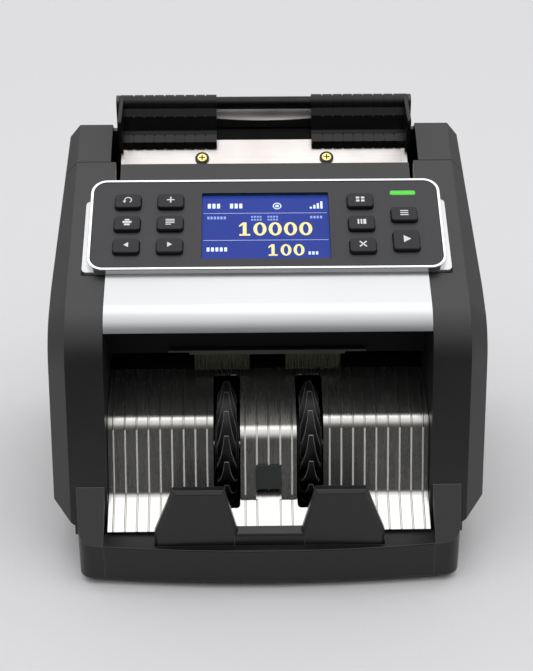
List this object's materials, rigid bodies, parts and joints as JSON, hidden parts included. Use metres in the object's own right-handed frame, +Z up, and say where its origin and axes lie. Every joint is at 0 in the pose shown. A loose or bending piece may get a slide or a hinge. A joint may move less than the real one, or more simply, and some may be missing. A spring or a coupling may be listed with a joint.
{
  "type": "banknote counting machine",
  "caption": "Desktop banknote counting machine with a top hopper and sliding note guides, a sloping control panel, and a front stacker bay with finger wheels and a two-finned stop.",
  "frame": {"origin": "under the centre of the machine, on the plane its feet stand on", "axes": "+X to the right seen from the operator, +Y to the rear, +Z up"},
  "size_m": [0.285, 0.248, 0.2534],
  "materials": {
    "housing_black": "fine-textured dark grey moulding",
    "rear_black": "fine-textured dark grey moulding",
    "base_black": "satin dark grey moulding",
    "feet_rubber": "black rubber",
    "cover_silver": "satin silver",
    "rim_silver": "polished silver",
    "panel_grey": "fine-textured dark grey",
    "key_grey": "satin dark grey",
    "display_blue": "lit blue screen behind glass",
    "light_green": "lit green lens",
    "hopper_steel": "plain bright steel",
    "stacker_steel": "brushed stainless",
    "guide_black": "satin black",
    "bar_grey": "satin dark grey",
    "rod_black": "black-plated steel",
    "screw_zinc": "yellow zinc plating",
    "stop_black": "satin black",
    "wheel_black": "black flexible plastic",
    "sensor_dark": "dark filter plastic",
    "bay_black": "black",
    "brush_grey": "dark bristles on a channel",
    "frame_steel": "zinc-plated steel",
    "shaft_steel": "ground steel",
    "roller_rubber": "ground rubber",
    "pulley_white": "white moulding",
    "belt_rubber": "black belt",
    "motor_grey": "grey can",
    "board_green": "green circuit board",
    "sensor_bar": "black moulding",
    "supply_metal": "bare aluminium case",
    "inlet_black": "gloss black moulding",
    "rocker_black": "gloss black"
  },
  "bodies": {
    "chassis": {"base_pan": "base_black", "brush_bar": "brush_grey", "display_board": "board_green", "display_window": "display_blue", "drive_belt": "belt_rubber", "drive_motor": "motor_grey", "front_cover": "cover_silver", "front_tray": "base_black", "guide_rod": "rod_black", "hopper_back_strip": "guide_black", "hopper_front_bar": "bar_grey", "hopper_plate": "hopper_steel", "hopper_screws": "screw_zinc", "image_sensors": "sensor_bar", "left_base_block": "base_black", "left_frame": "frame_steel", "left_side_housing": "housing_black", "main_board": "board_green", "note_chutes": "bay_black", "note_stop": "stop_black", "outlet_hood": "bay_black", "panel_frame": "rim_silver", "panel_plate": "panel_grey", "power_inlet": "inlet_black", "power_supply": "supply_metal", "rear_cover": "rear_black", "right_base_block": "base_black", "right_frame": "frame_steel", "right_side_housing": "housing_black", "rubber_feet": "feet_rubber", "stack_sensor_cover": "sensor_dark", "stacker_centre_sheet": "stacker_steel", "stacker_sheet": "stacker_steel", "status_light": "light_green"},
    "feed_roller_set": {"feed_shaft": "shaft_steel", "feed_rollers": "roller_rubber", "feed_pulley": "pulley_white"},
    "transport_roller_set": {"transport_shaft": "shaft_steel", "transport_rollers": "roller_rubber", "transport_pulley": "pulley_white"},
    "stacker_wheel_set": {"stacker_shaft": "shaft_steel", "left_stacker_wheel": "wheel_black", "right_stacker_wheel": "wheel_black", "stacker_pulley": "pulley_white"},
    "motor_rotor": {"motor_pulley": "pulley_white"},
    "left_guide": {"left_note_guide": "guide_black"},
    "right_guide": {"right_note_guide": "guide_black"},
    "door": {"rear_door": "rear_black"},
    "rocker": {"mains_rocker": "rocker_black"},
    "button_auto": {"key_auto": "key_grey"},
    "button_add": {"key_add": "key_grey"},
    "button_print": {"key_print": "key_grey"},
    "button_report": {"key_report": "key_grey"},
    "button_previous": {"key_previous": "key_grey"},
    "button_next": {"key_next": "key_grey"},
    "button_mode": {"key_mode": "key_grey"},
    "button_batch": {"key_batch": "key_grey"},
    "button_clear": {"key_clear": "key_grey"},
    "button_menu": {"key_menu": "key_grey"},
    "button_start": {"key_start": "key_grey"}
  },
  "joints": [
    {"name": "stacker_spin", "type": "hinge", "parent": "chassis", "child": "stacker_wheel_set", "pos_m": [0, -0.0466, 0.062], "axis": [1, 0, 0], "continuous": true},
    {"name": "feed_spin", "type": "hinge", "parent": "chassis", "child": "feed_roller_set", "pos_m": [0, 0.066, 0.181], "axis": [1, 0, 0], "continuous": true},
    {"name": "transport_spin", "type": "hinge", "parent": "chassis", "child": "transport_roller_set", "pos_m": [0, 0.01, 0.14], "axis": [1, 0, 0], "continuous": true},
    {"name": "motor_spin", "type": "hinge", "parent": "chassis", "child": "motor_rotor", "pos_m": [0, 0.072, 0.062], "axis": [1, 0, 0], "continuous": true},
    {"name": "left_guide_slide", "type": "slide", "parent": "chassis", "child": "left_guide", "axis": [1, 0, 0], "range_m": [0, 0.03]},
    {"name": "right_guide_slide", "type": "slide", "parent": "chassis", "child": "right_guide", "axis": [-1, 0, 0], "range_m": [0, 0.03]},
    {"name": "door_hinge", "type": "hinge", "parent": "chassis", "child": "door", "pos_m": [0, 0.121, 0.1003], "axis": [-1, 0, 0], "range_deg": [0, 90]},
    {"name": "rocker_tilt", "type": "hinge", "parent": "chassis", "child": "rocker", "pos_m": [0.044, 0.118, 0.058], "axis": [-1, 0, 0], "range_deg": [0, 20]},
    {"name": "press_auto", "type": "slide", "parent": "chassis", "child": "button_auto", "axis": [0, 0.4254, -0.905], "range_m": [0, 0.0012], "stiffness_N_per_m": 400},
    {"name": "press_add", "type": "slide", "parent": "chassis", "child": "button_add", "axis": [0, 0.4254, -0.905], "range_m": [0, 0.0012], "stiffness_N_per_m": 400},
    {"name": "press_print", "type": "slide", "parent": "chassis", "child": "button_print", "axis": [0, 0.4254, -0.905], "range_m": [0, 0.0012], "stiffness_N_per_m": 400},
    {"name": "press_report", "type": "slide", "parent": "chassis", "child": "button_report", "axis": [0, 0.4254, -0.905], "range_m": [0, 0.0012], "stiffness_N_per_m": 400},
    {"name": "press_previous", "type": "slide", "parent": "chassis", "child": "button_previous", "axis": [0, 0.4254, -0.905], "range_m": [0, 0.0012], "stiffness_N_per_m": 400},
    {"name": "press_next", "type": "slide", "parent": "chassis", "child": "button_next", "axis": [0, 0.4254, -0.905], "range_m": [0, 0.0012], "stiffness_N_per_m": 400},
    {"name": "press_mode", "type": "slide", "parent": "chassis", "child": "button_mode", "axis": [0, 0.4254, -0.905], "range_m": [0, 0.0012], "stiffness_N_per_m": 400},
    {"name": "press_batch", "type": "slide", "parent": "chassis", "child": "button_batch", "axis": [0, 0.4254, -0.905], "range_m": [0, 0.0012], "stiffness_N_per_m": 400},
    {"name": "press_clear", "type": "slide", "parent": "chassis", "child": "button_clear", "axis": [0, 0.4254, -0.905], "range_m": [0, 0.0012], "stiffness_N_per_m": 400},
    {"name": "press_menu", "type": "slide", "parent": "chassis", "child": "button_menu", "axis": [0, 0.4254, -0.905], "range_m": [0, 0.0012], "stiffness_N_per_m": 400},
    {"name": "press_start", "type": "slide", "parent": "chassis", "child": "button_start", "axis": [0, 0.4254, -0.905], "range_m": [0, 0.0012], "stiffness_N_per_m": 400}
  ],
  "couplings": [
    {"joint": "feed_spin", "follows": "stacker_spin", "ratio": 0.83333},
    {"joint": "transport_spin", "follows": "stacker_spin", "ratio": 0.9375},
    {"joint": "motor_spin", "follows": "stacker_spin", "ratio": 2}
  ]
}
